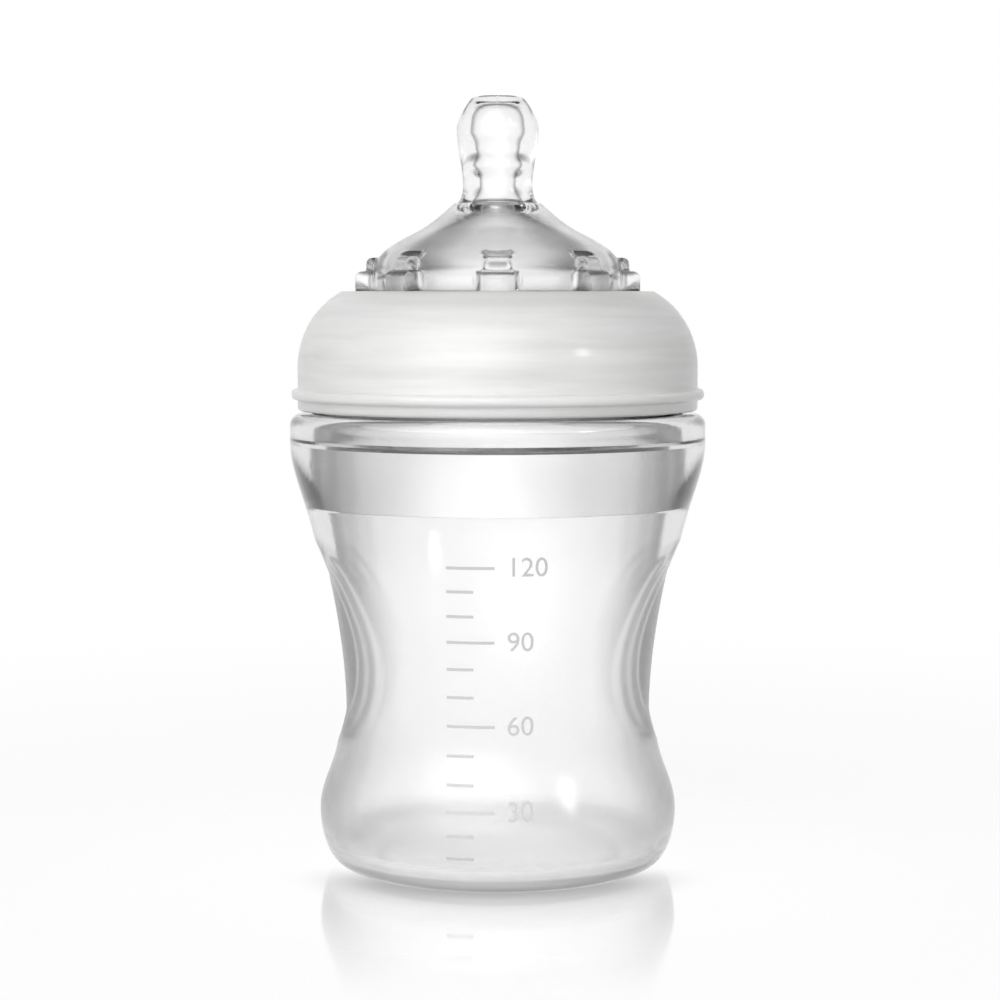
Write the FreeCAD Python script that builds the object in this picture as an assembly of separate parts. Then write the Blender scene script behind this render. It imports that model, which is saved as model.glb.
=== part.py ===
import FreeCAD, Part
import math
import os

# A wide-neck feeding bottle: a soft silicone body, a stiff neck ring pressed into its lip, a screw collar
# and a nipple. All sizes are in millimetres. The axis is Z, the bottle stands on Z = 0, and its two finger
# grips face +X and -X.

# Silicone body
foot_radius = 26.5            # outer edge of the flat ring that the bottle stands on
bulge_radius = 31.4           # widest place near the foot
bulge_height = 9.8
flare_radius = 28.8           # outside, where the waist begins to flare to the bulge
flare_height = 19.2
waist_radius = 27.9
waist_height = 30.5
upper_radius = 31.3           # outside, above the grips
upper_height = 53.5
body_wall = 2.5
upper_wall = 3.2              # wall above the grips
foot_width = 5.2              # of that flat ring
pushup_depth = 0.8            # hollow inside that ring
seat_height = 63.7            # ledge that carries the neck ring
seat_skin = 1.0               # silicone outside the ring at the ledge
lip_wall = 3.45               # silicone outside the ring at the lip
lip_rise = 1.1                # lip above the shoulder of the ring
lip_belt_drop = 4.9           # the lip is widest this far below its top
lip_rounding = 2.0

# Finger grips: cushion-shaped recesses that step down towards their middle
grip_height = 39.5            # middle of a grip
grip_half_width = 20.0        # at the middle of its sides
grip_half_length = 17.0       # at the middle of its ends
grip_side_bow = 4.5           # how far the sides bow out from corner to corner
grip_end_bow = 2.0            # how far the ends bow out
grip_steps = 3
grip_step_depth = 0.36
grip_step_width = 3.0         # tread of a step at the sides
grip_step_length = 1.8        # tread of a step at the ends

# Neck ring
neck_bore_radius = 28.35
neck_wall = 2.7
neck_height = 16.4            # sealing rim above the shoulder of the ring
bore_taper = 2.4              # height above that shoulder over which the bore narrows to the neck
rim_taper = 3.6               # height over which the neck narrows to the rim
band_height = 10.3
band_wall = 3.0
band_proud = 1.85             # band beyond the root of the thread
bead_height = 4.2
bead_inset = 0.5              # bead inside the face of the band
bead_rounding = 1.2
groove_width = 1.1            # snap groove between band and bead
groove_depth = 0.5
ring_fit = 0.05               # gap between ring and silicone

# Screw thread, two right-hand ridges on the neck and two in the collar
thread_starts = 2
thread_pitch = 4.5            # from one ridge to the next
thread_turns = 0.62           # length of each ridge
thread_depth = 1.7
thread_root_width = 2.6
thread_crest_width = 1.3
thread_clearance = 0.45
thread_start_rise = 1.5       # middle of the first ridge above the lower edge of the collar
thread_embed = 0.4            # how far a ridge reaches into its wall

# Screw collar
collar_gap = 1.2              # open gap above the lip of the body
collar_wall = 1.8
dome_radius = 15.15           # rounding from the skirt up to the opening
dome_over_land = 9.2          # the dome begins this far below the clamping land
flange_rise = 1.3             # bead of the flange above the lower edge of the collar
flange_proud = 1.1
flange_height = 1.8
flange_rounding = 0.7
lower_edge_rounding = 0.5
opening_relief = 1.5          # bevel below the edge of the opening
opening_rounding = 1.0

# Nipple
seal_gap = 0.05               # flange of the nipple to the rim and to the collar
flange_thickness = 1.9
flange_clearance = 0.35
hub_radius = 25.6             # part that passes through the opening of the collar
hub_clearance = 0.4
hub_wall = 2.4
shoulder_drop = 1.0           # shoulder of the nipple below the edge of the opening
nipple_wall_radius = 21.7
nipple_wall = 2.3
wall_rise = 4.2               # upright wall above the shoulder
cone_rise = 15.6              # from the shoulder to the root of the teat
cone_lower_radius = 19.8
cone_lower_rise = 7.3
cone_lower_thickening = 0.9   # extra silicone inside that place
cone_middle_radius = 13.2
cone_middle_rise = 11.2
cone_top_radius = 7.6
cone_top_slope = 0.9          # rise for each unit of radius where the cone meets the teat
teat_root_radius = 7.1
teat_neck_radius = 6.15
teat_neck_rise = 4.9
teat_head_radius = 7.15
teat_head_rise = 12.7
teat_length = 18.5
teat_shoulder_radius = 5.7    # where the head rounds over to its flat tip
teat_shoulder_drop = 1.9
teat_flat_radius = 3.7
tip_wall = 1.7
bore_root_radius = 4.6
bore_root_drop = 1.6          # the bore opens into the cone this far below the root of the teat
bore_root_slope = 0.6         # fall for each unit of radius where the cone's hollow leaves the bore
bore_neck_radius = 3.2
bore_neck_rise = 4.2
bore_ring_radius = 4.3
bore_ring_rise = 6.9
bore_throat_radius = 3.8
bore_throat_rise = 9.2
bore_head_radius = 4.75
bore_head_rise = 12.4
bore_flat_radius = 2.4
flow_hole_radius = 0.3

# Nubs on the nipple, in columns of a wide lower step and a narrow upper step
nub_columns = 8
lower_nub_width = 7.0
lower_nub_height = 3.8
lower_nub_reach = 3.2         # beyond the upright wall
upper_nub_width = 4.4
upper_nub_height = 2.4
upper_nub_reach = 1.3
lower_nub_sink = 0.4          # how far a lower nub reaches down into the shoulder
lower_nub_root = 1.0          # how far a lower nub reaches into the upright wall
nub_skin = 0.1                # wall left between an upper nub's root and the hollow
nub_rounding = 1.2
nub_edge_tolerance = 0.001    # an edge this near a face of a nub lies on it

# Radii and heights that follow from these sizes
neck_root_radius = neck_bore_radius + neck_wall
neck_crest_radius = neck_root_radius + thread_depth
band_radius = neck_root_radius + band_proud
band_bore_radius = band_radius - band_wall
bead_radius = band_radius - bead_inset
groove_radius = bead_radius - groove_depth
groove_height = seat_height + band_height
shoulder_height = groove_height + bead_height
rim_height = shoulder_height + neck_height

lip_height = shoulder_height + lip_rise
lip_radius = band_radius + ring_fit + lip_wall
belt_height = lip_height - lip_belt_drop
seat_outer_radius = band_radius + ring_fit + seat_skin

collar_base_height = lip_height + collar_gap
collar_bore_radius = neck_crest_radius + thread_clearance
collar_radius = collar_bore_radius + collar_wall
collar_crest_radius = neck_root_radius + thread_clearance
flange_top_height = rim_height + seal_gap + flange_thickness
land_height = flange_top_height + seal_gap
dome_height = land_height - dome_over_land
dome_middle_radius = collar_radius - dome_radius
opening_radius = hub_radius + hub_clearance
thread_lead = thread_starts * thread_pitch
thread_start_height = collar_base_height + thread_start_rise


def dome_surface_radius(height, depth):
    """Radius of the dome at a height, at a depth below its outer face."""
    reach = dome_radius - depth
    return dome_middle_radius + math.sqrt(reach ** 2 - (height - dome_height) ** 2)


land_radius = dome_surface_radius(land_height, collar_wall)
flange_radius = land_radius - flange_clearance
rim_radius = dome_surface_radius(rim_height, collar_wall) - thread_clearance
opening_height = dome_height + math.sqrt(dome_radius ** 2 - (opening_radius - dome_middle_radius) ** 2)
nipple_shoulder_height = opening_height - shoulder_drop
teat_root_height = nipple_shoulder_height + cone_rise
tip_height = teat_root_height + teat_length


def point(radius, height):
    return FreeCAD.Vector(radius, 0, height)


def line(start, end):
    return Part.makeLine(point(*start), point(*end))


def arc(start, middle, end):
    return Part.Arc(point(*start), point(*middle), point(*end)).toShape()


def round_arc(centre, radius, from_angle, to_angle):
    """Arc in the profile plane, with angles in degrees from the radius towards +Z."""
    ends = []
    for angle in (from_angle, (from_angle + to_angle) / 2, to_angle):
        turn = math.radians(angle)
        ends.append((centre[0] + radius * math.cos(turn), centre[1] + radius * math.sin(turn)))
    return arc(*ends)


def curve(points, start_direction, end_direction):
    """Smooth curve through points, leaving and arriving along two directions."""
    spline = Part.BSplineCurve()
    spline.interpolate(
        Points=[point(*place) for place in points],
        InitialTangent=point(*start_direction),
        FinalTangent=point(*end_direction),
    )
    return spline.toShape()


def revolve(edges):
    face = Part.Face(Part.Wire(Part.__sortEdges__(edges)))
    return face.revolve(FreeCAD.Vector(0, 0, 0), FreeCAD.Vector(0, 0, 1), 360)


def run(corners):
    """Straight edges through corners of radius, height and, where a corner is rounded, its rounding."""
    edges = []
    start = point(*corners[0][:2])
    for number in range(1, len(corners)):
        corner = point(*corners[number][:2])
        rounding = corners[number][2] if len(corners[number]) > 2 else 0
        if rounding:
            back = (start - corner).normalize()
            ahead = (point(*corners[number + 1][:2]) - corner).normalize()
            half_angle = back.getAngle(ahead) / 2
            first = corner + back * (rounding / math.tan(half_angle))
            last = corner + ahead * (rounding / math.tan(half_angle))
            inward = (back + ahead).normalize()
            top = corner + inward * (rounding / math.sin(half_angle) - rounding)
            edges.append(Part.makeLine(start, first))
            edges.append(Part.Arc(first, top, last).toShape())
            start = last
        else:
            edges.append(Part.makeLine(start, corner))
            start = corner
    return edges


def around_axis(shape, angle):
    turned = shape.copy()
    turned.rotate(FreeCAD.Vector(0, 0, 0), FreeCAD.Vector(0, 0, 1), angle)
    return turned


def body_side(inset):
    """Outer side of the body from the belt of the lip down to the foot, moved in by an inset."""
    side = curve(
        [
            (lip_radius - inset, belt_height),
            (seat_outer_radius - inset, seat_height),
            (upper_radius - inset, upper_height),
            (waist_radius - inset, waist_height),
            (flare_radius - inset, flare_height),
            (bulge_radius - inset, bulge_height),
        ],
        (0, -1),
        (0, -1),
    )
    corner = curve([(bulge_radius - inset, bulge_height), (foot_radius, inset)], (0, -1), (-1, 0))
    return [side, corner]


def turned_core(inset):
    """Solid of the body without its hollow, with its side moved in by an inset."""
    top = (lip_radius - inset, belt_height)
    edges = body_side(inset)
    edges.append(line((foot_radius, inset), (0, inset)))
    edges.append(line((0, inset), (0, belt_height)))
    edges.append(line((0, belt_height), top))
    return revolve(edges)


def grip_outline(step):
    """Cushion-shaped face of one step of a grip, seen along X."""
    half_width = grip_half_width - step * grip_step_width
    half_length = grip_half_length - step * grip_step_length
    corner_y = half_width - grip_side_bow
    corner_z = half_length - grip_end_bow
    corners = [(corner_y, corner_z), (-corner_y, corner_z), (-corner_y, -corner_z), (corner_y, -corner_z)]
    middles = [(0, half_length), (-half_width, 0), (0, -half_length), (half_width, 0)]
    sides = []
    for number, middle in enumerate(middles):
        ends = (corners[number], middle, corners[(number + 1) % len(corners)])
        places = [FreeCAD.Vector(0, y, grip_height + z) for y, z in ends]
        sides.append(Part.Arc(*places).toShape())
    return Part.Face(Part.Wire(sides))


def grip_cutters():
    """Solids that cut the steps of both grips, each deeper and smaller than the one before."""
    cutters = []
    for step in range(grip_steps):
        core = turned_core((step + 1) * grip_step_depth)
        for reach in (2 * lip_radius, -2 * lip_radius):
            prism = grip_outline(step).extrude(FreeCAD.Vector(reach, 0, 0))
            cutters.append(prism.cut(core))
    return cutters


def make_bottle_body():
    """Silicone vessel with its ring pocket, rounded lip, hollow foot and two finger grips."""
    pocket_radius = band_radius + ring_fit
    snap_radius = groove_radius + ring_fit
    upper_pocket_radius = bead_radius + ring_fit
    snap_middle = groove_height + groove_width / 2
    hollow_radius = foot_radius - foot_width
    floor_height = body_wall

    edges = body_side(0)
    edges.append(line((foot_radius, 0), (hollow_radius, 0)))
    edges.append(line((hollow_radius, 0), (hollow_radius - pushup_depth, pushup_depth)))
    edges.append(line((hollow_radius - pushup_depth, pushup_depth), (0, pushup_depth)))
    edges.append(line((0, pushup_depth), (0, floor_height)))
    edges.append(line((0, floor_height), (foot_radius, floor_height)))
    floor_corner = [(foot_radius, floor_height), (bulge_radius - body_wall, bulge_height)]
    edges.append(curve(floor_corner, (1, 0), (0, 1)))
    edges.append(curve(
        [
            (bulge_radius - body_wall, bulge_height),
            (flare_radius - body_wall, flare_height),
            (waist_radius - body_wall, waist_height),
            (upper_radius - upper_wall, upper_height),
            (band_bore_radius, seat_height - ring_fit),
        ],
        (0, 1),
        (seat_outer_radius - upper_radius, seat_height - upper_height),
    ))
    edges += run([
        (band_bore_radius, seat_height - ring_fit),
        (pocket_radius, seat_height - ring_fit),
        (pocket_radius, groove_height),
        (snap_radius, snap_middle),
        (upper_pocket_radius, groove_height + groove_width),
        (upper_pocket_radius, lip_height),
        (lip_radius, lip_height, lip_rounding),
        (lip_radius, belt_height),
    ])

    body = revolve(edges)
    for cutter in grip_cutters():
        body = body.cut(cutter)
    return body


def thread_ridges(root_radius, crest_radius, first_angle):
    """Helical ridges on a wall at the root radius, reaching in or out to the crest radius."""
    outward = 1 if crest_radius > root_radius else -1
    deep_radius = root_radius - outward * thread_embed
    flank = (thread_root_width - thread_crest_width) / 2 / abs(crest_radius - root_radius)
    deep_width = thread_root_width + 2 * flank * thread_embed
    corners = [
        point(deep_radius, thread_start_height - deep_width / 2),
        point(crest_radius, thread_start_height - thread_crest_width / 2),
        point(crest_radius, thread_start_height + thread_crest_width / 2),
        point(deep_radius, thread_start_height + deep_width / 2),
    ]
    profile = Part.makePolygon(corners + corners[:1])
    path = Part.makeHelix(thread_lead, thread_lead * thread_turns, root_radius)
    path.translate(FreeCAD.Vector(0, 0, thread_start_height))
    ridge = Part.Wire(path.Edges).makePipeShell([profile], True, True)
    spacing = 360 / thread_starts
    return [around_axis(ridge, first_angle + number * spacing) for number in range(thread_starts)]


def make_neck_ring():
    """Stiff ring with its band and bead in the silicone, its thread above, and its sealing rim on top."""
    taper_height = rim_height - rim_taper
    snap_middle = groove_height + groove_width / 2
    ring = revolve(run([
        (band_bore_radius, seat_height),
        (band_radius, seat_height),
        (band_radius, groove_height),
        (groove_radius, snap_middle),
        (bead_radius, groove_height + groove_width),
        (bead_radius, shoulder_height, bead_rounding),
        (neck_root_radius, shoulder_height),
        (neck_root_radius, taper_height),
        (rim_radius, rim_height),
        (neck_bore_radius, rim_height),
        (neck_bore_radius, shoulder_height + bore_taper),
        (band_bore_radius, shoulder_height),
        (band_bore_radius, seat_height),
    ]))
    return ring.fuse(thread_ridges(neck_root_radius, neck_crest_radius, 0)).removeSplitter()


def make_screw_collar():
    """Domed collar with a beaded flange near its lower edge, a clamping land, an opening and a thread."""
    flange_outer_radius = collar_radius + flange_proud
    flange_lower_height = collar_base_height + flange_rise
    flange_upper_height = flange_lower_height + flange_height
    bevel_radius = opening_radius + opening_relief
    bevel_height = land_height + opening_relief
    land_angle = math.degrees(math.asin(dome_over_land / (dome_radius - collar_wall)))
    dome_centre = (dome_middle_radius, dome_height)

    # The edge of the opening is an arc that leaves the opening upright and joins the dome smoothly.
    edge_radius = opening_radius + opening_rounding
    edge_reach = dome_radius - opening_rounding
    edge_angle = math.degrees(math.acos((edge_radius - dome_middle_radius) / edge_reach))
    edge_height = dome_height + edge_reach * math.sin(math.radians(edge_angle))

    edges = run([
        (opening_radius, edge_height),
        (opening_radius, bevel_height),
        (bevel_radius, land_height),
        (land_radius, land_height),
    ])
    edges.append(round_arc(dome_centre, dome_radius - collar_wall, land_angle, 0))
    edges += run([
        (collar_bore_radius, dome_height),
        (collar_bore_radius, collar_base_height),
        (collar_radius, collar_base_height, lower_edge_rounding),
        (collar_radius, flange_lower_height),
        (flange_outer_radius, flange_lower_height, flange_rounding),
        (flange_outer_radius, flange_upper_height, flange_rounding),
        (collar_radius, flange_upper_height),
        (collar_radius, dome_height),
    ])
    edges.append(round_arc(dome_centre, dome_radius, 0, edge_angle))
    edges.append(round_arc((edge_radius, edge_height), opening_rounding, edge_angle, 180))

    collar = revolve(edges)
    half_step = -180 / thread_starts
    return collar.fuse(thread_ridges(collar_bore_radius, collar_crest_radius, half_step)).removeSplitter()


def nub(width, bottom, top, root, reach):
    """One step of a nub column on the +X side, with its free edges rounded."""
    face = nipple_wall_radius + reach
    block = Part.makeBox(face - root, width, top - bottom, FreeCAD.Vector(root, -width / 2, bottom))
    free_edges = []
    for edge in block.Edges:
        middle = edge.CenterOfMass
        on_face = middle.x > face - nub_edge_tolerance
        on_top = middle.z > top - nub_edge_tolerance
        on_root = middle.x < root + nub_edge_tolerance
        on_bottom = middle.z < bottom + nub_edge_tolerance
        if (on_face or on_top) and not on_root and not on_bottom:
            free_edges.append(edge)
    return block.makeFillet(nub_rounding, free_edges)


def make_nipple():
    """Teat, cone, hub and sealing flange with a wavy bore, a flow hole and columns of stepped nubs."""
    flange_bottom = rim_height + seal_gap
    hub_bore_radius = hub_radius - hub_wall
    shoulder = nipple_shoulder_height
    wall_bore_radius = nipple_wall_radius - nipple_wall
    wall_top = shoulder + wall_rise
    cone_tilt = math.atan2(cone_middle_rise - cone_lower_rise, cone_lower_radius - cone_middle_radius)
    hub_bore_top = shoulder - hub_wall
    bore_root_height = teat_root_height - bore_root_drop

    edges = [
        line((hub_bore_radius, flange_bottom), (flange_radius, flange_bottom)),
        line((flange_radius, flange_bottom), (flange_radius, flange_top_height)),
        line((flange_radius, flange_top_height), (hub_radius, flange_top_height)),
        line((hub_radius, flange_top_height), (hub_radius, shoulder)),
        line((hub_radius, shoulder), (nipple_wall_radius, shoulder)),
        line((nipple_wall_radius, shoulder), (nipple_wall_radius, wall_top)),
    ]
    edges.append(curve(
        [
            (nipple_wall_radius, wall_top),
            (cone_lower_radius, shoulder + cone_lower_rise),
            (cone_middle_radius, shoulder + cone_middle_rise),
            (cone_top_radius, teat_root_height),
        ],
        (0, 1),
        (-1, cone_top_slope),
    ))
    edges.append(line((cone_top_radius, teat_root_height), (teat_root_radius, teat_root_height)))
    edges.append(curve(
        [
            (teat_root_radius, teat_root_height),
            (teat_neck_radius, teat_root_height + teat_neck_rise),
            (teat_head_radius, teat_root_height + teat_head_rise),
        ],
        (-1, 1),
        (0, 1),
    ))
    edges.append(curve(
        [
            (teat_head_radius, teat_root_height + teat_head_rise),
            (teat_shoulder_radius, tip_height - teat_shoulder_drop),
            (teat_flat_radius, tip_height),
        ],
        (0, 1),
        (-1, 0),
    ))
    edges.append(line((teat_flat_radius, tip_height), (flow_hole_radius, tip_height)))
    edges.append(line((flow_hole_radius, tip_height), (flow_hole_radius, tip_height - tip_wall)))
    edges.append(line((flow_hole_radius, tip_height - tip_wall), (bore_flat_radius, tip_height - tip_wall)))
    edges.append(curve(
        [
            (bore_flat_radius, tip_height - tip_wall),
            (bore_head_radius, teat_root_height + bore_head_rise),
        ],
        (1, 0),
        (0, -1),
    ))
    edges.append(curve(
        [
            (bore_head_radius, teat_root_height + bore_head_rise),
            (bore_throat_radius, teat_root_height + bore_throat_rise),
            (bore_ring_radius, teat_root_height + bore_ring_rise),
            (bore_neck_radius, teat_root_height + bore_neck_rise),
            (bore_root_radius, bore_root_height),
        ],
        (0, -1),
        (0, -1),
    ))
    inset_radius = nipple_wall * math.sin(cone_tilt)
    inset_height = nipple_wall * math.cos(cone_tilt)
    edges.append(curve(
        [
            (bore_root_radius, bore_root_height),
            (cone_middle_radius - inset_radius, shoulder + cone_middle_rise - inset_height),
            (cone_lower_radius - inset_radius - cone_lower_thickening,
             shoulder + cone_lower_rise - inset_height),
            (wall_bore_radius, wall_top - inset_height),
        ],
        (1, -bore_root_slope),
        (0, -1),
    ))
    edges.append(line((wall_bore_radius, wall_top - inset_height), (wall_bore_radius, shoulder)))
    edges.append(line((wall_bore_radius, shoulder), (hub_bore_radius, hub_bore_top)))
    edges.append(line((hub_bore_radius, hub_bore_top), (hub_bore_radius, flange_bottom)))
    turned = revolve(edges)

    lower_top = shoulder + lower_nub_height
    lower_root = nipple_wall_radius - lower_nub_root
    upper_root = wall_bore_radius + nub_skin
    lower = nub(lower_nub_width, shoulder - lower_nub_sink, lower_top, lower_root, lower_nub_reach)
    upper = nub(upper_nub_width, shoulder, lower_top + upper_nub_height, upper_root, upper_nub_reach)
    steps = []
    for number in range(nub_columns):
        angle = number * 360 / nub_columns
        steps.append(around_axis(lower, angle))
        steps.append(around_axis(upper, angle))
    return turned.fuse(steps).removeSplitter()


os.makedirs("parts", exist_ok=True)
sub_parts = {
    "bottle_body": make_bottle_body(),
    "neck_ring": make_neck_ring(),
    "screw_collar": make_screw_collar(),
    "nipple": make_nipple(),
}
for name, shape in sub_parts.items():
    shape.exportStep("parts/" + name + ".step")
    box = shape.BoundBox
    print(name, "solids", len(shape.Solids), "valid", shape.isValid(), "volume", round(shape.Volume, 1),
          "radius", round(box.XMax, 2), "heights", round(box.ZMin, 2), round(box.ZMax, 2))
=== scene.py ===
import math

import bpy
import numpy as np
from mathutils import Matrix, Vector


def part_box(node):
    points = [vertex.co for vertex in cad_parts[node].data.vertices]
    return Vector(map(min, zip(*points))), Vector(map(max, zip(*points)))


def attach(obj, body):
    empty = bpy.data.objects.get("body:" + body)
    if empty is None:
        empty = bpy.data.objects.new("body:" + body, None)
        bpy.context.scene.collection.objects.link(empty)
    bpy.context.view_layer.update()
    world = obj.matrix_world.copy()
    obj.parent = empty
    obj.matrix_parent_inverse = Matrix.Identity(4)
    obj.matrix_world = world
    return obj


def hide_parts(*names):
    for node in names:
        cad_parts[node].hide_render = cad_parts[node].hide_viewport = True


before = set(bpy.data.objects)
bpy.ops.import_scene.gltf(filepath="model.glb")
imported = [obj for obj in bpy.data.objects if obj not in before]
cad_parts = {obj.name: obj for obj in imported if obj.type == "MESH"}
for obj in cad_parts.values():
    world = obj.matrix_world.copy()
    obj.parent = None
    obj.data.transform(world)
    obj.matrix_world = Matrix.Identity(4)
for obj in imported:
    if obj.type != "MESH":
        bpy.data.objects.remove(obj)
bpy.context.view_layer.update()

# Bottle body
# A soft vessel of hazy clear silicone, injection moulded in one piece with a satin skin. Two recesses that
# step down in terraces give the fingers a hold, and the rolled lip at the top grips the neck ring.

mm = 0.001

foot_radius = 26.5 * mm
bulge_radius = 31.4 * mm
bulge_height = 9.8 * mm
flare_radius = 28.8 * mm
flare_height = 19.2 * mm
waist_radius = 27.9 * mm
waist_height = 30.5 * mm
upper_radius = 31.3 * mm
upper_height = 53.5 * mm
body_wall = 2.5 * mm
upper_wall = 3.2 * mm
foot_width = 5.2 * mm
pushup_depth = 0.8 * mm
seat_height = 63.65 * mm
seat_radius = 33.95 * mm
lip_drop = 4.9 * mm
lip_rounding = 2.0 * mm
pocket_radius = 32.95 * mm
pocket_bore = 29.9 * mm
snap_height = 74.0 * mm
snap_width = 1.1 * mm
snap_radius = 31.95 * mm
mouth_radius = 32.45 * mm

grip_sizes = {
    "Grip Height": 39.5 * mm,
    "Half Width": 20.0 * mm,
    "Half Length": 17.0 * mm,
    "Side Bow": 4.5 * mm,
    "End Bow": 2.0 * mm,
    "Step Depth": 0.36 * mm,
    "Step Width": 3.0 * mm,
    "Step Length": 1.8 * mm,
    "Edge Softness": 1.2 * mm,
}
grip_steps = 3
grip_corner_blend = 4
# Painted shade in the grips, as the share by which their colour is darker.
painted_grip_shade = 0.34
satin_roughness = 0.15
lip_gloss = 0.12
lip_start = 46 * mm
lip_end = 58 * mm
foot_clear_start = 3 * mm
foot_clear_end = 9 * mm
foot_haze = 0.5
foot_haze_width = 1.5 * mm
foot_haze_start = 2.5 * mm
foot_haze_end = 6.5 * mm
milk_share = 0.01
satin_variation = 0.06
grip_dullness = 0.06
silicone_ior = 1.41
skin_depth = 0.01 * mm
level_end = 0.98

corner_points = 7
weld_distance = 0.001 * mm
sharp_angle = 42


class Field:
    """A number that a node tree works out at every point, so that a shaping rule reads as arithmetic."""

    def __init__(self, tree, socket):
        self.tree = tree
        self.socket = socket

    def maths(self, operation, *others):
        node = wired(self.tree, "ShaderNodeMath", dict(enumerate((self, *others))), operation=operation)
        return Field(self.tree, node.outputs[0])

    def __add__(self, other):
        return self.maths("ADD", other)

    def __sub__(self, other):
        return self.maths("SUBTRACT", other)

    def __mul__(self, other):
        return self.maths("MULTIPLY", other)

    def __truediv__(self, other):
        return self.maths("DIVIDE", other)

    def step(self, low, high):
        """Rises smoothly from 0 at low to 1 at high."""
        node = wired(self.tree, "ShaderNodeMapRange", {
            "Value": self, "From Min": low, "From Max": high,
        }, interpolation_type="SMOOTHSTEP")
        return Field(self.tree, node.outputs["Result"])


def feed(tree, socket, value):
    """Links a field or an output of another node to a socket, or sets a plain value on it."""
    source = value.socket if isinstance(value, Field) else value
    if isinstance(source, bpy.types.NodeSocket):
        tree.links.new(source, socket)
    else:
        socket.default_value = source


def wired(tree, kind, inputs, **choices):
    """A new node with its choices made and its inputs fed."""
    node = tree.nodes.new(kind)
    for label, value in choices.items():
        setattr(node, label, value)
    for label, value in inputs.items():
        feed(tree, node.inputs[label], value)
    return node


def arc(centre, radius, from_angle, to_angle, steps):
    """Points of an arc in the profile plane, with angles in degrees from the radius towards +Z."""
    turns = np.radians(np.linspace(from_angle, to_angle, steps + 1))
    return [(centre[0] + radius * math.cos(turn), centre[1] + radius * math.sin(turn)) for turn in turns]


def smooth_curve(places, start, end, steps):
    """Points of a curve of even bend through places, leaving and arriving along two directions."""
    places = np.array(places)
    spans = np.linalg.norm(np.diff(places, axis=0), axis=1)
    count = len(places)
    system = np.eye(count)
    wanted = np.zeros((count, 2))
    wanted[0] = np.array(start) / np.linalg.norm(start)
    wanted[-1] = np.array(end) / np.linalg.norm(end)
    for number in range(1, count - 1):
        before, after = spans[number - 1], spans[number]
        system[number, number - 1:number + 2] = after, 2 * (before + after), before
        rise_before = (places[number] - places[number - 1]) / before
        rise_after = (places[number + 1] - places[number]) / after
        wanted[number] = 3 * (after * rise_before + before * rise_after)
    slopes = np.linalg.solve(system, wanted)
    knots = np.concatenate([[0], np.cumsum(spans)])
    curve = []
    for way in np.linspace(0, knots[-1], steps + 1):
        number = min(int(np.searchsorted(knots, way, side="right")) - 1, count - 2)
        span = spans[number]
        share = (way - knots[number]) / span
        rest = 1 - share
        from_here = places[number] * rest ** 2 * (1 + 2 * share)
        to_next = places[number + 1] * share ** 2 * (1 + 2 * rest)
        tilt = slopes[number] * rest ** 2 * share - slopes[number + 1] * share ** 2 * rest
        curve.append(tuple(from_here + to_next + tilt * span))
    return curve


def straight(corners, spacing):
    """Points along straight edges, about a spacing apart, with corners rounded where they give a radius."""
    line = [tuple(corners[0][:2])]
    for number in range(1, len(corners)):
        corner = np.array(corners[number][:2])
        rounding = corners[number][2] if len(corners[number]) > 2 else 0
        bend = [tuple(corner)]
        if rounding:
            back = np.array(line[-1]) - corner
            ahead = np.array(corners[number + 1][:2]) - corner
            back /= np.linalg.norm(back)
            ahead /= np.linalg.norm(ahead)
            half = math.acos(np.clip(back @ ahead, -1, 1)) / 2
            inward = (back + ahead) / np.linalg.norm(back + ahead)
            middle = corner + inward * rounding / math.sin(half)
            swing = math.pi / 2 - half
            side = np.array([-inward[1], inward[0]])
            side *= math.copysign(1, back @ side)
            turns = np.linspace(swing, -swing, corner_points)
            ways = [side * math.sin(turn) - inward * math.cos(turn) for turn in turns]
            bend = [tuple(middle + rounding * way) for way in ways]
        reach = np.array(bend[0]) - np.array(line[-1])
        parts = max(1, round(float(np.linalg.norm(reach)) / spacing))
        start = np.array(line[-1])
        line += [tuple(start + reach * part / parts) for part in range(1, parts)]
        line += bend
    return line


def making_tree(name, given, values):
    """A Geometry Nodes tree that takes a mesh and named values and gives a piece, and its value sockets."""
    tree = bpy.data.node_groups.new(name, "GeometryNodeTree")
    tree.interface.new_socket(given, in_out="INPUT", socket_type="NodeSocketGeometry")
    tree.interface.new_socket("Piece", in_out="OUTPUT", socket_type="NodeSocketGeometry")
    settings = {}
    for label, value in values.items():
        kind = "NodeSocketInt" if isinstance(value, int) else "NodeSocketFloat"
        settings[label] = tree.interface.new_socket(label, in_out="INPUT", socket_type=kind)
    return tree, settings


def keep_made(piece, tree, settings, values):
    """Runs a tree on a piece with its values set, and leaves the piece with the mesh that comes out."""
    making = piece.modifiers.new("making", "NODES")
    making.node_group = tree
    for label, socket in settings.items():
        making[socket.identifier] = values[label]
    made = piece.evaluated_get(bpy.context.evaluated_depsgraph_get())
    mesh = bpy.data.meshes.new_from_object(made)
    piece.modifiers.remove(making)
    piece.data = mesh
    mesh.name = piece.name
    return mesh


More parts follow.
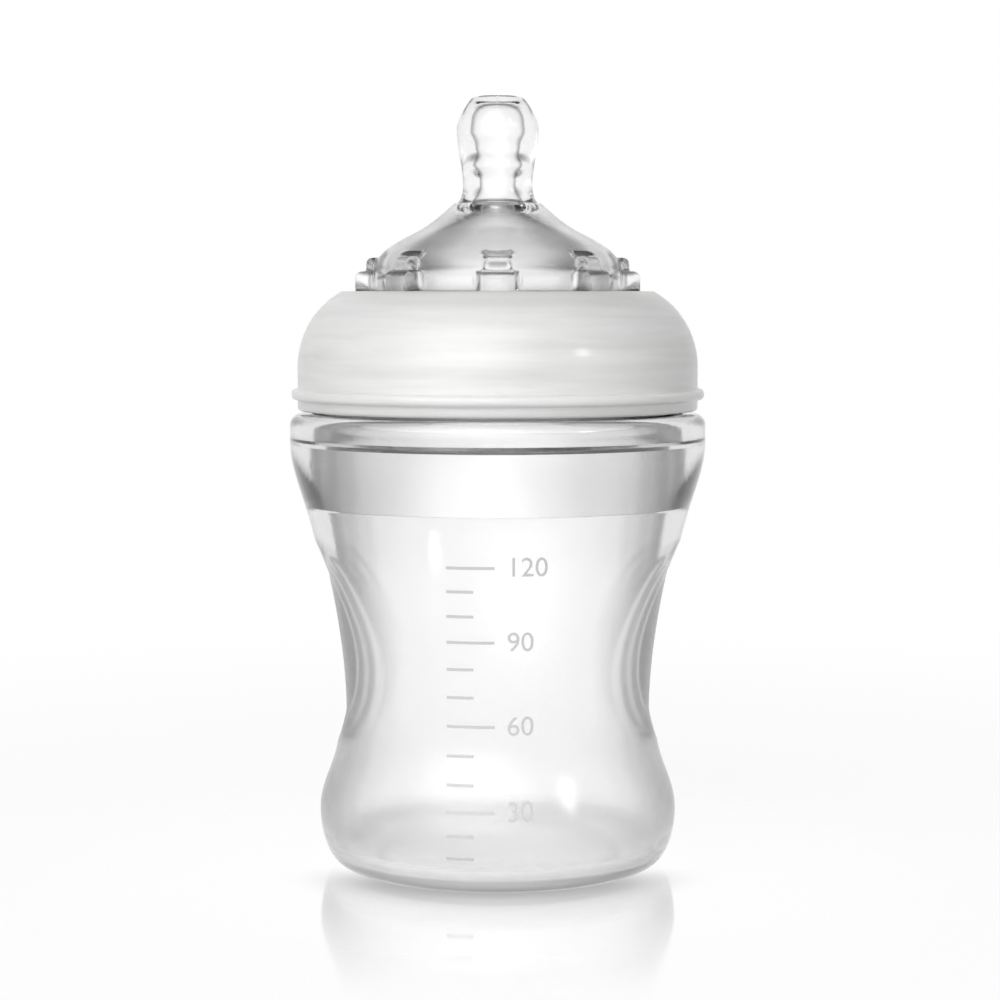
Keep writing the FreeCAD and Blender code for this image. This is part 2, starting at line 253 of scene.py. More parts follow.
def turned_piece(name, outside, inside, materials, segments, sizes, rule, sections=None):
    """Turns a profile of radius, height points round the axis with Geometry Nodes. The rule gets the angle,
    radius and height of each point and gives back the radius and height that the piece has there, and marks
    that its material reads. The inside points are the inner wall, which takes the second material."""
    profile = outside + inside
    walls = [0.0] * len(outside) + [1.0] * len(inside)
    blank = bpy.data.meshes.new(name + "_profile")
    blank.from_pydata([(radius, 0, height) for radius, height in profile], [], [])
    wall = blank.attributes.new("inner_wall", "FLOAT", "POINT")
    wall.data.foreach_set("value", walls)
    for label, points in (sections or {}).items():
        section = blank.attributes.new(label, "FLOAT_VECTOR", "POINT")
        section.data.foreach_set("vector", [x for radius, height in points for x in (radius, 0, height)])
    piece = bpy.data.objects.new(name, blank)
    bpy.context.scene.collection.objects.link(piece)

    values = {"Segments": segments, **sizes}
    tree, settings = making_tree(name + "_turning", "Profile", values)
    start = tree.nodes.new("NodeGroupInput").outputs
    given = {label: Field(tree, start[label]) for label in values}

    count = wired(tree, "GeometryNodeAttributeDomainSize", {"Geometry": start["Profile"]})
    rows = Field(tree, count.outputs["Point Count"])
    grid = wired(tree, "GeometryNodeMeshGrid", {"Vertices X": given["Segments"] + 1, "Vertices Y": rows})
    index = Field(tree, tree.nodes.new("GeometryNodeInputIndex").outputs["Index"])
    column = ((index + 0.5) / rows).maths("FLOOR")
    row = index - column * rows + 0.5
    angle = column * math.tau / given["Segments"]

    def sampled(kind, socket):
        sample = wired(tree, "GeometryNodeSampleIndex", {
            "Geometry": start["Profile"], "Value": socket, "Index": row,
        }, data_type=kind)
        return sample.outputs["Value"]

    def attribute(kind, label):
        named = wired(tree, "GeometryNodeInputNamedAttribute", {"Name": label}, data_type=kind)
        return named.outputs["Attribute"]

    def place(socket):
        split = wired(tree, "ShaderNodeSeparateXYZ", {"Vector": sampled("FLOAT_VECTOR", socket)})
        return Field(tree, split.outputs["X"]), Field(tree, split.outputs["Z"])

    radius, height = place(tree.nodes.new("GeometryNodeInputPosition").outputs["Position"])
    inner = Field(tree, sampled("FLOAT", attribute("FLOAT", "inner_wall")))
    others = {label: place(attribute("FLOAT_VECTOR", label)) for label in (sections or {})}
    radius, height, marks = rule(given, angle, radius, height, inner, others)
    spot = wired(tree, "ShaderNodeCombineXYZ", {
        "X": radius * angle.maths("COSINE"), "Y": radius * angle.maths("SINE"), "Z": height,
    })

    sheet = grid.outputs["Mesh"]
    for label, value in {"inner_wall": inner, **marks}.items():
        keep = wired(tree, "GeometryNodeStoreNamedAttribute", {
            "Geometry": sheet, "Name": label, "Value": value,
        })
        sheet = keep.outputs["Geometry"]
    move = wired(tree, "GeometryNodeSetPosition", {"Geometry": sheet, "Position": spot.outputs["Vector"]})
    close = wired(tree, "GeometryNodeMergeByDistance", {
        "Geometry": move.outputs["Geometry"], "Distance": weld_distance,
    })
    real = wired(tree, "GeometryNodeRealizeInstances", {"Geometry": close.outputs["Geometry"]})
    last = real.outputs["Geometry"]
    for number, material in enumerate(materials):
        finish = wired(tree, "GeometryNodeSetMaterial", {"Geometry": last, "Material": material})
        if number:
            chosen = Field(tree, attribute("FLOAT", "inner_wall")).maths("GREATER_THAN", 0.5)
            feed(tree, finish.inputs["Selection"], chosen)
        last = finish.outputs["Geometry"]
    wired(tree, "NodeGroupOutput", {"Piece": last})

    mesh = keep_made(piece, tree, settings, values)
    mesh.shade_smooth()
    mesh.set_sharp_from_angle(angle=math.radians(sharp_angle))
    return piece


def grip_rule(given, angle, radius, height, inner, others):
    """Terraces of the two finger grips, each smaller and deeper than the one before, on the outer wall."""
    across = (radius * angle.maths("SINE")).maths("ABSOLUTE")
    along = (height - given["Grip Height"]).maths("ABSOLUTE")
    soft = given["Edge Softness"]
    outer = inner * -1 + 1
    depth = outer * 0
    for number in range(grip_steps):
        width = given["Half Width"] - given["Step Width"] * number
        length = given["Half Length"] - given["Step Length"] * number
        bow = along / (length - given["End Bow"])
        end_bow = across / (width - given["Side Bow"])
        side_room = width - given["Side Bow"] * bow * bow - across
        end_room = length - given["End Bow"] * end_bow * end_bow - along
        room = side_room.maths("SMOOTH_MIN", end_room, soft * grip_corner_blend)
        depth = depth + room.step(soft * -1, soft)
    return radius - outer * depth * given["Step Depth"], height, {"grip": outer * depth / grip_steps}


def slant_ramp(tree, stops):
    """A share that changes by stops with the slant at which light meets the surface."""
    slant = wired(tree, "ShaderNodeLayerWeight", {"Blend": 0.5})
    ramp = wired(tree, "ShaderNodeValToRGB", {"Fac": slant.outputs["Facing"]})
    ramp.color_ramp.interpolation = "EASE"
    steps = ramp.color_ramp.elements
    while len(steps) < len(stops):
        steps.new(0.5)
    for step, (place, share) in zip(steps, stops):
        step.position = place
        step.color = (share, share, share, 1)
    return Field(tree, ramp.outputs["Color"])


def edge_tint(tree, entering, leaving, level_start=0.6):
    """Painted edge shade of clear stuff: a colour that darkens towards its edges as the surface slants away
    from the view. The stops give the share kept at each slant, for faces met from outside and from inside.
    Level faces, which are always seen at a slant, stay clear."""
    surface = tree.nodes.new("ShaderNodeNewGeometry")
    inside = Field(tree, surface.outputs["Backfacing"])
    let_in = slant_ramp(tree, entering)
    share = let_in + (slant_ramp(tree, leaving) - let_in) * inside
    level = height_of(tree, surface.outputs["Normal"]).maths("ABSOLUTE").step(level_start, level_end)
    share = share + (share * -1 + 1) * level
    return share * share


def height_of(tree, vector):
    """The part of a vector that points up."""
    split = wired(tree, "ShaderNodeSeparateXYZ", {"Vector": vector})
    return Field(tree, split.outputs["Z"])


def own_coordinates(tree):
    """Places in metres on the piece itself, so that a pattern moves with it."""
    return tree.nodes.new("ShaderNodeTexCoord").outputs["Object"]


def off_axis(tree):
    """Distance from the axis of the bottle."""
    place = own_coordinates(tree)
    level = wired(tree, "ShaderNodeVectorMath", {0: place, 1: (1, 1, 0)}, operation="MULTIPLY")
    length = wired(tree, "ShaderNodeVectorMath", {0: level.outputs["Vector"]}, operation="LENGTH")
    return Field(tree, length.outputs["Value"])


def noise(tree, scale, detail):
    """Soft noise over the piece, as a field from 0 to 1."""
    node = wired(tree, "ShaderNodeTexNoise", {
        "Vector": own_coordinates(tree), "Scale": scale, "Detail": detail,
    })
    return Field(tree, node.outputs["Fac"])


def skin_bump(tree, shader, height, depth):
    """Fine unevenness of a moulded skin, from a field, as deep as depth."""
    bump = wired(tree, "ShaderNodeBump", {"Distance": depth, "Height": height})
    feed(tree, shader.inputs["Normal"], bump.outputs["Normal"])


def new_material(name):
    """A material with its node tree and its main shader."""
    material = bpy.data.materials.new(name)
    material.use_nodes = True
    return material, material.node_tree, material.node_tree.nodes["Principled BSDF"]


def hazy_silicone(name, stops, lip_stops):
    """Clear silicone with a trace of milk that clouds from place to place, and a satin moulded skin that is
    smoother at the lip and duller in the grips. Its colour holds painted shade: the edges are painted
    darker by other stops at the lip than below it, and not at all round the foot, which is milky, and the
    grips are painted darker still."""
    material, tree, shader = new_material(name)
    height = height_of(tree, own_coordinates(tree))
    at_lip = height.step(lip_start, lip_end)
    above_foot = height.step(foot_clear_start, foot_clear_end)
    mark = tree.nodes.new("ShaderNodeAttribute")
    mark.attribute_name = "grip"
    in_grip = Field(tree, mark.outputs["Fac"])
    # Painted shade: the edges darken with slant, by other stops at the lip, and not round the foot.
    lower_painted_shade = edge_tint(tree, *stops)
    painted_shade = lower_painted_shade + (edge_tint(tree, *lip_stops) - lower_painted_shade) * at_lip
    painted_shade = (painted_shade - 1) * above_foot + 1
    # Painted shade in the grips: the colour there is darker by the depth of the terraces.
    feed(tree, shader.inputs["Base Color"], painted_shade * (in_grip * -painted_grip_shade + 1))
    milky = off_axis(tree).step(foot_radius, foot_radius + foot_haze_width)
    milky = milky * height.step(foot_haze_end, foot_haze_start)
    clear = noise(tree, scale=60, detail=3) * milk_share + (1 - milk_share)
    feed(tree, shader.inputs["Transmission Weight"], clear - milky * foot_haze)
    satin = noise(tree, scale=300, detail=2) * satin_variation + satin_roughness
    feed(tree, shader.inputs["Roughness"], satin + in_grip * grip_dullness - at_lip * lip_gloss)
    shader.inputs["IOR"].default_value = silicone_ior
    skin_bump(tree, shader, noise(tree, scale=900, detail=2), skin_depth)
    return material


lip_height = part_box("bottle_body")[1].z
lip_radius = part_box("bottle_body")[1].x
belt_height = lip_height - lip_drop
hollow_radius = foot_radius - foot_width

body_outside = straight([
    (0, pushup_depth),
    (hollow_radius - pushup_depth, pushup_depth),
    (hollow_radius, 0),
    (foot_radius, 0),
], spacing=4 * mm)
body_outside += smooth_curve([
    (foot_radius, 0), (bulge_radius, bulge_height),
], start=(1, 0), end=(0, 1), steps=16)[1:]
body_outside += smooth_curve([
    (bulge_radius, bulge_height),
    (flare_radius, flare_height),
    (waist_radius, waist_height),
    (upper_radius, upper_height),
    (seat_radius, seat_height),
    (lip_radius, belt_height),
], start=(0, 1), end=(0, 1), steps=126)[1:]
body_outside += straight([
    (lip_radius, belt_height),
    (lip_radius, lip_height, lip_rounding),
    (mouth_radius, lip_height),
], spacing=1 * mm)[1:]
body_inside = straight([
    (mouth_radius, lip_height),
    (mouth_radius, snap_height + snap_width),
    (snap_radius, snap_height + snap_width / 2),
    (pocket_radius, snap_height),
    (pocket_radius, seat_height),
    (pocket_bore, seat_height),
], spacing=1.5 * mm)[1:]
body_inside += smooth_curve([
    (pocket_bore, seat_height),
    (upper_radius - upper_wall, upper_height),
    (waist_radius - body_wall, waist_height),
    (flare_radius - body_wall, flare_height),
    (bulge_radius - body_wall, bulge_height),
], start=(upper_radius - seat_radius, upper_height - seat_height), end=(0, -1), steps=44)[1:]
body_inside += smooth_curve([
    (bulge_radius - body_wall, bulge_height), (foot_radius, body_wall),
], start=(0, -1), end=(-1, 0), steps=10)[1:]
body_inside += straight([(foot_radius, body_wall), (0, body_wall)], spacing=6 * mm)[1:]

# Stops of the painted edge shade, for the outer skin and the bore, below the lip and at the lip.
body_skin = hazy_silicone("hazy_silicone", (
    [(0, 1), (0.2, 0.99), (0.33, 0.96), (0.47, 0.88), (0.69, 0.72), (1, 0.6)],
    [(0, 1), (0.1, 0.99), (0.15, 0.965), (0.2, 0.92), (0.295, 0.83)],
), (
    [(0, 1), (0.22, 0.98), (0.4, 0.93), (0.61, 0.87), (0.8, 0.88), (1, 0.95)],
    [(0, 1), (0.1, 0.98), (0.17, 0.93), (0.24, 0.88), (0.295, 0.92)],
))
body_bore = hazy_silicone("hazy_silicone_bore", (
    [(0, 1), (0.25, 0.985), (0.42, 0.945), (0.64, 0.86), (1, 0.6)],
    [(0, 1), (0.12, 0.995), (0.18, 0.98), (0.25, 0.93), (0.295, 0.8)],
), (
    [(0, 1), (0.14, 0.97), (0.3, 0.91), (0.41, 0.84), (0.57, 0.75), (1, 0.4)],
    [(0, 1), (0.07, 0.98), (0.14, 0.94), (0.18, 0.88), (0.24, 0.75), (0.295, 0.3)],
))
body = turned_piece("silicone_body", body_outside, body_inside, [body_skin, body_bore],
                    segments=384, sizes=grip_sizes, rule=grip_rule)
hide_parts("bottle_body")
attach(body, "bottle")

# Measuring scale
# Fill marks every 10 ml, with a plain number at every third one, printed in pale grey on the front of the
# body. The ink is a thin film, and each mark stands at the height that its fill reaches inside.

millilitre = 1e-6
scale_step = 10
scale_top = 120
marks_per_number = 3
short_mark = 4.5 * mm
long_mark = 8 * mm
marks_left = -8.5 * mm
numbers_left = 1.5 * mm
print_distance = 60 * mm
mark_segments = 12
ink_grey = (0.7, 0.7, 0.71, 1)
ink_roughness = 0.45
ink_variation = 0.2

scale_sizes = {
    "Mark Height": 0.5 * mm,
    "Number Size": 4.6 * mm,
    "Ink Gap": 0.01 * mm,
    "Ink Thickness": 0.05 * mm,
}


def fill_heights(volumes):
    """Heights that fills reach in the hollow of the body, from its inner wall."""
    hollow = sorted((height, radius) for radius, height in body_inside if height < seat_height)
    heights, radii = np.array(hollow).T
    areas = math.pi * (radii[1:] ** 2 + radii[1:] * radii[:-1] + radii[:-1] ** 2) / 3
    filled = np.concatenate([[0], np.cumsum(areas * np.diff(heights))])
    return np.interp(volumes, filled, heights)


def printed_scale(name, fills, material):
    """Lays bars and numbers out flat, drops them on the front of the body and gives them a thickness."""
    numbers = range(1, len(fills) + 1)
    lengths = [short_mark if number % marks_per_number else long_mark for number in numbers]
    heights = [float(height) for height in fill_heights(np.array(fills) * millilitre)]
    blank = bpy.data.meshes.new(name + "_marks")
    middles = [(marks_left + length / 2, height, 0) for length, height in zip(lengths, heights)]
    blank.from_pydata(middles, [], [])
    blank.attributes.new("mark_length", "FLOAT", "POINT").data.foreach_set("value", lengths)
    piece = bpy.data.objects.new(name, blank)
    bpy.context.scene.collection.objects.link(piece)

    tree, settings = making_tree(name + "_printing", "Marks", scale_sizes)
    start = tree.nodes.new("NodeGroupInput").outputs

    bar = wired(tree, "GeometryNodeMeshGrid", {
        "Size X": 1, "Size Y": 1, "Vertices X": mark_segments + 1, "Vertices Y": 2,
    })
    length = wired(tree, "GeometryNodeInputNamedAttribute", {"Name": "mark_length"})
    stretch = wired(tree, "ShaderNodeCombineXYZ", {
        "X": length.outputs["Attribute"], "Y": start["Mark Height"], "Z": 1,
    })
    bars = wired(tree, "GeometryNodeInstanceOnPoints", {
        "Points": start["Marks"], "Instance": bar.outputs["Mesh"], "Scale": stretch.outputs["Vector"],
    })
    layout = wired(tree, "GeometryNodeJoinGeometry", {"Geometry": bars.outputs["Instances"]})
    for number in range(marks_per_number - 1, len(fills), marks_per_number):
        digits = wired(tree, "GeometryNodeStringToCurves", {
            "String": str(fills[number]), "Size": start["Number Size"],
        }, align_y="MIDDLE")
        lift = wired(tree, "GeometryNodeTransform", {
            "Geometry": digits.outputs["Curve Instances"],
            "Translation": (numbers_left, heights[number], 0),
        })
        real = wired(tree, "GeometryNodeRealizeInstances", {"Geometry": lift.outputs["Geometry"]})
        filled = wired(tree, "GeometryNodeFillCurve", {"Curve": real.outputs["Geometry"]})
        feed(tree, layout.inputs["Geometry"], filled.outputs["Mesh"])
    flat = wired(tree, "GeometryNodeRealizeInstances", {"Geometry": layout.outputs["Geometry"]})

    position = tree.nodes.new("GeometryNodeInputPosition").outputs["Position"]
    place = wired(tree, "ShaderNodeSeparateXYZ", {"Vector": position})
    before = wired(tree, "ShaderNodeCombineXYZ", {
        "X": place.outputs["X"], "Y": -print_distance, "Z": place.outputs["Y"],
    })
    surface = wired(tree, "GeometryNodeObjectInfo", {"Object": body})
    drop = wired(tree, "GeometryNodeRaycast", {
        "Target Geometry": surface.outputs["Geometry"],
        "Source Position": before.outputs["Vector"],
        "Ray Direction": (0, 1, 0),
    })
    off = wired(tree, "ShaderNodeVectorMath", {
        0: drop.outputs["Hit Normal"], 1: start["Ink Gap"], 2: drop.outputs["Hit Position"],
    }, operation="MULTIPLY_ADD")
    move = wired(tree, "GeometryNodeSetPosition", {
        "Geometry": flat.outputs["Geometry"], "Position": off.outputs["Vector"],
    })

    film = wired(tree, "GeometryNodeExtrudeMesh", {
        "Mesh": move.outputs["Geometry"], "Offset Scale": start["Ink Thickness"], "Individual": False,
    })
    back = wired(tree, "GeometryNodeFlipFaces", {"Mesh": move.outputs["Geometry"]})
    both = wired(tree, "GeometryNodeJoinGeometry", {"Geometry": film.outputs["Mesh"]})
    feed(tree, both.inputs["Geometry"], back.outputs["Mesh"])
    close = wired(tree, "GeometryNodeMergeByDistance", {
        "Geometry": both.outputs["Geometry"], "Distance": weld_distance,
    })
    solid = wired(tree, "GeometryNodeRealizeInstances", {"Geometry": close.outputs["Geometry"]})
    finish = wired(tree, "GeometryNodeSetMaterial", {
        "Geometry": solid.outputs["Geometry"], "Material": material,
    })
    wired(tree, "NodeGroupOutput", {"Piece": finish.outputs["Geometry"]})

    keep_made(piece, tree, settings, scale_sizes)
    return piece


def scale_ink(name):
    """Pale grey ink, a little thinner from place to place."""
    material, tree, shader = new_material(name)
    shader.inputs["Base Color"].default_value = ink_grey
    feed(tree, shader.inputs["Roughness"], noise(tree, scale=400, detail=2) * ink_variation + ink_roughness)
    skin_bump(tree, shader, noise(tree, scale=1200, detail=2), skin_depth)
    return material


fills = list(range(scale_step, scale_top + 1, scale_step))
scale = printed_scale("measuring_scale", fills, scale_ink("scale_ink"))
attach(scale, "bottle")

# Neck ring
# A stiff ring of clear plastic, pressed into the lip of the body, where a snap groove holds it. It carries
# the screw thread and the sealing rim, because silicone alone would be too soft for them.

ring_bead_rounding = 1.2 * mm
ring_edge_rounding = 0.4 * mm
ring_fit = 0.05 * mm
neck_root_radius = 31.05 * mm
neck_bore_radius = 28.35 * mm
rim_radius = 30.64 * mm
rim_taper = 3.6 * mm
bore_taper = 2.4 * mm
shoulder_height = 78.2 * mm
polish_roughness = 0.08
scuff_roughness = 0.06
flow_mark_depth = 0.02 * mm
plastic_ior = 1.49

thread_sizes = {
    "Lead": 9.0 * mm,
    "Start Height": 82.0 * mm,
    "Root Radius": neck_root_radius,
    "Depth": 1.7 * mm,
    "Root Width": 2.6 * mm,
    "Crest Width": 1.3 * mm,
    "Turns": 0.62,
    "First Turn": 0.0,
    "Run Out": 0.02,
}
thread_starts = 2
thread_row = 0.12 * mm
root_fade_start = 0.1 * mm
root_fade_end = 0.3 * mm


def thread_ridge(given, angle, height):
    """How far the ridges of a screw thread stand from their wall, as a share of their depth."""
    whole_turns = 2
    ridge = height * 0
    for number in range(thread_starts):
        turns_round = angle / math.tau - given["First Turn"] - number / thread_starts
        turn = (turns_round + whole_turns).maths("FRACT")
        middle = given["Start Height"] + turn * given["Lead"]
        away = (height - middle).maths("ABSOLUTE")
        side = (given["Root Width"] / 2 - away) / ((given["Root Width"] - given["Crest Width"]) / 2)
        ends = turn.step(0, given["Run Out"]) * (given["Turns"] - turn).step(0, given["Run Out"])
        ridge = ridge.maths("MAXIMUM", side.step(0, 1) * ends)
    return ridge


def neck_thread_rule(given, angle, radius, height, inner, others):
    """Lifts the thread off the outer wall of the neck, and off nothing that lies inside its root."""
    ridge = thread_ridge(given, angle, height) * (inner * -1 + 1)
    root = given["Root Radius"]
    on_neck = radius.step(root - root_fade_end, root - root_fade_start)
    return radius.maths("MAXIMUM", radius + ridge * on_neck * given["Depth"]), height, {}


def clear_plastic(name, entering, leaving):
    """Stiff clear plastic with a polished skin, a few faint flow marks, fine scuffs and painted shade that
    darkens its edges.
    """
    material, tree, shader = new_material(name)
    # Painted shade: the colour darkens towards the edges by slant.
    feed(tree, shader.inputs["Base Color"], edge_tint(tree, entering, leaving))
    shader.inputs["Transmission Weight"].default_value = 1
    scuffs = noise(tree, scale=200, detail=3) * scuff_roughness
    feed(tree, shader.inputs["Roughness"], scuffs + polish_roughness)
    shader.inputs["IOR"].default_value = plastic_ior
    skin_bump(tree, shader, noise(tree, scale=120, detail=1), flow_mark_depth)
    return material


ring_bottom = seat_height + ring_fit
rim_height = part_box("neck_ring")[1].z
band_radius = pocket_radius - ring_fit
bead_radius = mouth_radius - ring_fit
groove_radius = snap_radius - ring_fit
thread_bottom = thread_sizes["Start Height"] - thread_sizes["Root Width"] / 2
thread_top = thread_bottom + thread_sizes["Root Width"] + thread_sizes["Turns"] * thread_sizes["Lead"]
ring_outside = straight([
    (pocket_bore, ring_bottom),
    (band_radius, ring_bottom),
    (band_radius, snap_height),
    (groove_radius, snap_height + snap_width / 2),
    (bead_radius, snap_height + snap_width),
    (bead_radius, shoulder_height, ring_bead_rounding),
    (neck_root_radius, shoulder_height),
    (neck_root_radius, thread_bottom),
], spacing=0.5 * mm)
ring_outside += straight([
    (neck_root_radius, thread_bottom),
    (neck_root_radius, thread_top),
], spacing=thread_row)[1:]
ring_outside += straight([
    (neck_root_radius, thread_top),
    (neck_root_radius, rim_height - rim_taper),
    (rim_radius, rim_height, ring_edge_rounding),
    (neck_bore_radius, rim_height, ring_edge_rounding),
    (neck_bore_radius, rim_height - ring_edge_rounding),
], spacing=0.5 * mm)[1:]
ring_inside = straight([
    (neck_bore_radius, rim_height - ring_edge_rounding),
    (neck_bore_radius, shoulder_height + bore_taper),
    (pocket_bore, shoulder_height),
    (pocket_bore, ring_bottom),
], spacing=1.5 * mm)[1:]
# Stops of the painted edge shade of the ring; even where it faces the view it is painted a little darker.
ring_skin = clear_plastic("clear_plastic",
                          [(0, 0.96), (0.25, 0.95), (0.44, 0.91), (1, 0.85)],
                          [(0, 0.96), (0.1, 0.955), (0.17, 0.93), (0.255, 0.9)])
ring_bore = clear_plastic("clear_plastic_bore",
                          [(0, 0.96), (0.31, 0.95), (0.58, 0.88), (1, 0.6)],
                          [(0, 0.96), (0.125, 0.95), (0.206, 0.92), (0.255, 0.75)])
ring = turned_piece("clear_neck_ring", ring_outside, ring_inside, [ring_skin, ring_bore],
                    segments=384, sizes=thread_sizes, rule=neck_thread_rule)
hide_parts("neck_ring")
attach(ring, "bottle")

# Nipple
# A teat of clear silicone, moulded in one with its cone, its ring of stepped nubs and the flange that the
# collar clamps on the rim of the neck. Its wavy bore ends in a fine hole at the tip.

nipple_flange_thickness = 1.9 * mm
nipple_edge_rounding = 0.4 * mm
hub_radius = 25.6 * mm
hub_wall = 2.4 * mm
nipple_shoulder = 100.25 * mm
nipple_wall_radius = 21.7 * mm
nipple_wall = 2.3 * mm
nipple_wall_rise = 4.2 * mm
cone_lower = (19.8 * mm, 107.55 * mm)
cone_lower_thickening = 0.9 * mm
cone_middle = (13.2 * mm, 111.45 * mm)
cone_top = (7.6 * mm, 115.85 * mm)
cone_top_slope = 0.9
teat_root_radius = 7.1 * mm
teat_neck = (6.15 * mm, 120.75 * mm)
teat_head = (7.15 * mm, 128.55 * mm)
teat_shoulder_radius = 5.7 * mm
teat_shoulder_drop = 1.9 * mm
teat_flat_radius = 3.7 * mm
tip_wall = 1.7 * mm
bore_root = (4.6 * mm, 114.25 * mm)
bore_root_slope = 0.6
bore_neck = (3.2 * mm, 120.05 * mm)
bore_ring = (4.3 * mm, 122.75 * mm)
bore_throat = (3.8 * mm, 125.05 * mm)
bore_head = (4.75 * mm, 128.25 * mm)
bore_flat_radius = 2.4 * mm
flow_hole_radius = 0.3 * mm
lower_nub_height = 3.8 * mm
lower_nub_reach = 3.2 * mm
upper_nub_height = 2.4 * mm
upper_nub_reach = 1.3 * mm
nub_rounding = 1.2 * mm
nub_rows = 52
teat_roughness = 0.09
teat_variation = 0.05
cone_dullness = 0.12
cone_level_start = 0.9

nub_sizes = {
    "Columns": 8.0,
    "Lower Width": 7.0 * mm,
    "Upper Width": 4.4 * mm,
    "Edge Softness": 0.8 * mm,
}


def evenly(points, count):
    """The same line with a count of points at even distances."""
    points = np.array(points)
    ways = np.concatenate([[0], np.cumsum(np.linalg.norm(np.diff(points, axis=0), axis=1))])
    spots = np.linspace(0, ways[-1], count)
    return list(zip(np.interp(spots, ways, points[:, 0]), np.interp(spots, ways, points[:, 1])))


def nub_rule(given, angle, radius, height, inner, others):
    """Blends the plain section into the sections through a wide lower nub and a narrow upper nub."""
    columns = given["Columns"]
    off = ((angle * columns / math.tau + 0.5).maths("FRACT") - 0.5) * math.tau / columns
    soft = given["Edge Softness"]
    for label, width in (("lower_nub", "Lower Width"), ("upper_nub", "Upper Width")):
        nub_radius, nub_height = others[label]
        across = (nub_radius * off.maths("SINE")).maths("ABSOLUTE")
        share = (given[width] / 2 - across).step(soft * -1, soft)
        radius = radius + (nub_radius - radius) * share
        height = height + (nub_height - height) * share
    return radius, height, {}


def clear_silicone(name, entering, leaving):
    """Clear silicone with a soft gloss, a trace of haze, the faint drag marks of its mould and painted
    shade that darkens its edges.
    """
    material, tree, shader = new_material(name)
    # Painted shade: the colour darkens towards the edges by slant, except on level faces.
    feed(tree, shader.inputs["Base Color"], edge_tint(tree, entering, leaving, cone_level_start))
    clear = noise(tree, scale=90, detail=2) * milk_share + (1 - milk_share)
    feed(tree, shader.inputs["Transmission Weight"], clear)
    dull = height_of(tree, own_coordinates(tree)).step(cone_middle[1], nipple_shoulder)
    gloss = noise(tree, scale=260, detail=2) * teat_variation + teat_roughness
    feed(tree, shader.inputs["Roughness"], gloss + dull * cone_dullness)
    shader.inputs["IOR"].default_value = silicone_ior
    skin_bump(tree, shader, noise(tree, scale=500, detail=2), skin_depth)
    return material


tip_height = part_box("nipple")[1].z
flange_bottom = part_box("nipple")[0].z
flange_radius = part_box("nipple")[1].x
flange_top = flange_bottom + nipple_flange_thickness
wall_top = nipple_shoulder + nipple_wall_rise
lower_nub_top = nipple_shoulder + lower_nub_height
upper_nub_top = lower_nub_top + upper_nub_height
lower_nub_face = nipple_wall_radius + lower_nub_reach
upper_nub_face = nipple_wall_radius + upper_nub_reach

whole_cone = smooth_curve([
    (nipple_wall_radius, wall_top), cone_lower, cone_middle, cone_top,
], start=(0, 1), end=(-1, cone_top_slope), steps=48)
low_cone = [spot for spot in whole_cone if spot[1] < cone_lower[1]]
high_cone = [spot for spot in whole_cone if spot[1] >= cone_lower[1]]
plain_section = straight([
    (hub_radius, nipple_shoulder),
    (nipple_wall_radius, nipple_shoulder, nipple_edge_rounding),
    (nipple_wall_radius, wall_top),
], spacing=0.3 * mm) + low_cone[1:]
lower_section = straight([
    (hub_radius, nipple_shoulder),
    (lower_nub_face, nipple_shoulder),
    (lower_nub_face, lower_nub_top, nub_rounding),
    (nipple_wall_radius, lower_nub_top),
], spacing=0.3 * mm) + [spot for spot in low_cone if spot[1] > lower_nub_top]
upper_section = straight([
    (hub_radius, nipple_shoulder),
    (lower_nub_face, nipple_shoulder),
    (lower_nub_face, lower_nub_top, nub_rounding),
    (upper_nub_face, lower_nub_top),
    (upper_nub_face, upper_nub_top, nub_rounding),
    (low_cone[-1][0], upper_nub_top),
], spacing=0.3 * mm) + low_cone[-1:]

nipple_base = straight([
    (hub_radius - hub_wall, flange_bottom),
    (flange_radius, flange_bottom, nipple_edge_rounding),
    (flange_radius, flange_top, nipple_edge_rounding),
    (hub_radius, flange_top),
    (hub_radius, nipple_shoulder),
], spacing=1 * mm)[:-1]
nipple_top = high_cone + smooth_curve([
    (teat_root_radius, cone_top[1]), teat_neck, teat_head,
], start=(-1, 1), end=(0, 1), steps=22)
nipple_top += smooth_curve([
    teat_head, (teat_shoulder_radius, tip_height - teat_shoulder_drop), (teat_flat_radius, tip_height),
], start=(0, 1), end=(-1, 0), steps=14)[1:]
nipple_top += straight([
    (teat_flat_radius, tip_height),
    (flow_hole_radius, tip_height),
    (flow_hole_radius, tip_height - tip_wall),
], spacing=1 * mm)[1:]
cone_tilt = math.atan2(cone_middle[1] - cone_lower[1], cone_lower[0] - cone_middle[0])
inset = (nipple_wall * math.sin(cone_tilt), nipple_wall * math.cos(cone_tilt))
nipple_inside = straight([
    (flow_hole_radius, tip_height - tip_wall),
    (bore_flat_radius, tip_height - tip_wall),
], spacing=1 * mm)[1:]
nipple_inside += smooth_curve([
    (bore_flat_radius, tip_height - tip_wall), bore_head,
], start=(1, 0), end=(0, -1), steps=10)[1:]
nipple_inside += smooth_curve([
    bore_head, bore_throat, bore_ring, bore_neck, bore_root,
], start=(0, -1), end=(0, -1), steps=30)[1:]
nipple_inside += smooth_curve([
    bore_root,
    (cone_middle[0] - inset[0], cone_middle[1] - inset[1]),
    (cone_lower[0] - inset[0] - cone_lower_thickening, cone_lower[1] - inset[1]),
    (nipple_wall_radius - nipple_wall, wall_top - inset[1]),
], start=(1, -bore_root_slope), end=(0, -1), steps=40)[1:]
nipple_inside += straight([
    (nipple_wall_radius - nipple_wall, wall_top - inset[1]),
    (nipple_wall_radius - nipple_wall, nipple_shoulder),
    (hub_radius - hub_wall, nipple_shoulder - hub_wall),
    (hub_radius - hub_wall, flange_bottom),
], spacing=1 * mm)[1:]

